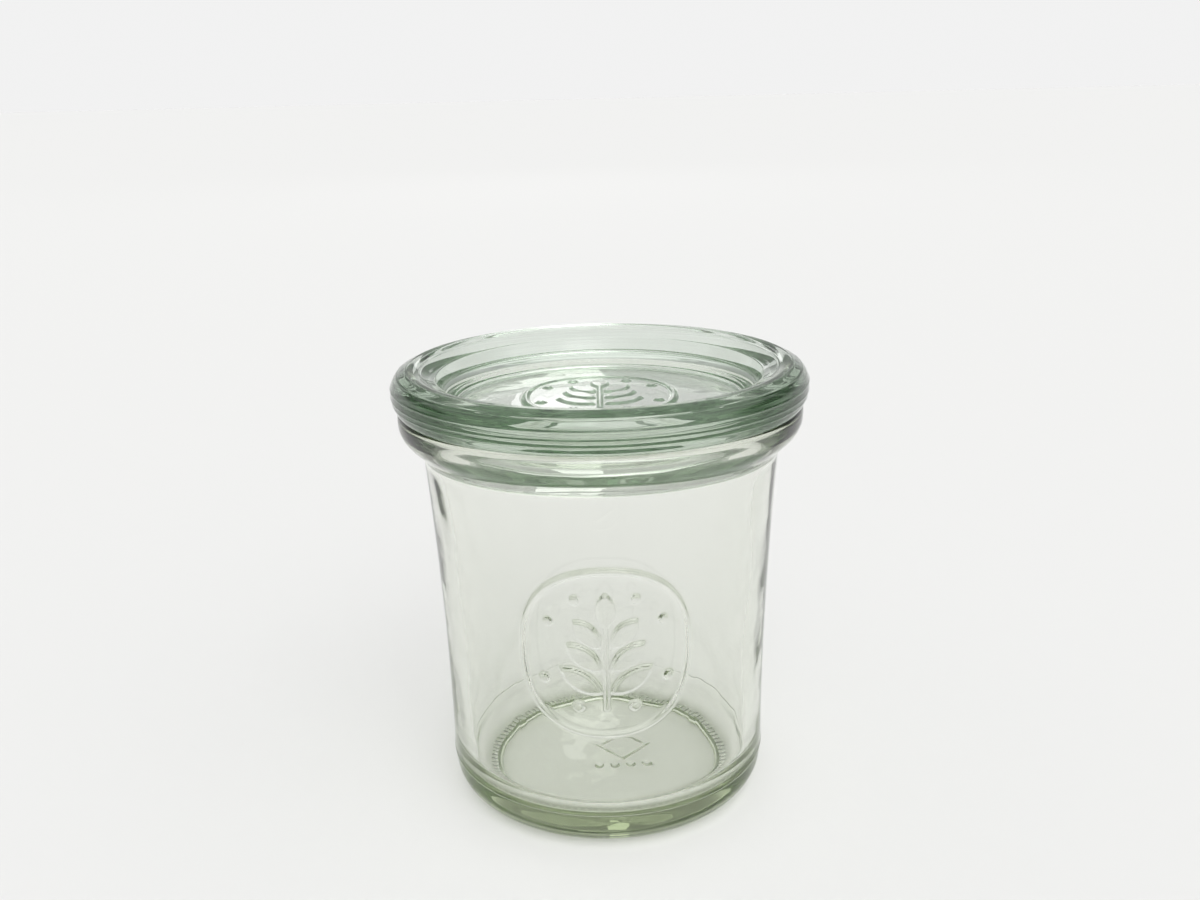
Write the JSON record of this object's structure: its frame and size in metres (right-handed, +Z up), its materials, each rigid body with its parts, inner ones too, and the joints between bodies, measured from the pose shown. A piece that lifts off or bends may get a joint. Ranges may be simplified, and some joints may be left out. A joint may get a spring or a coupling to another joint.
{
  "type": "glass canning jar",
  "caption": "Small straight-sided glass canning jar with a heavy flanged rim and a loose stepped glass lid with a stacking dish.",
  "frame": {"origin": "centre of the bearing ring's plane under the base", "axes": "+Z up along the axis of jar and lid; the raised emblem faces -Y"},
  "size_m": [0.0684, 0.0684, 0.075],
  "materials": {
    "jar_glass": "clear soda-lime glass with a slight yellow-green cast in the thick parts, fire polished",
    "lid_glass": "pale bluish-green pressed soda-lime glass, fire polished"
  },
  "bodies": {
    "root": {"jar": "jar_glass", "lid": "lid_glass"}
  },
  "joints": []
}
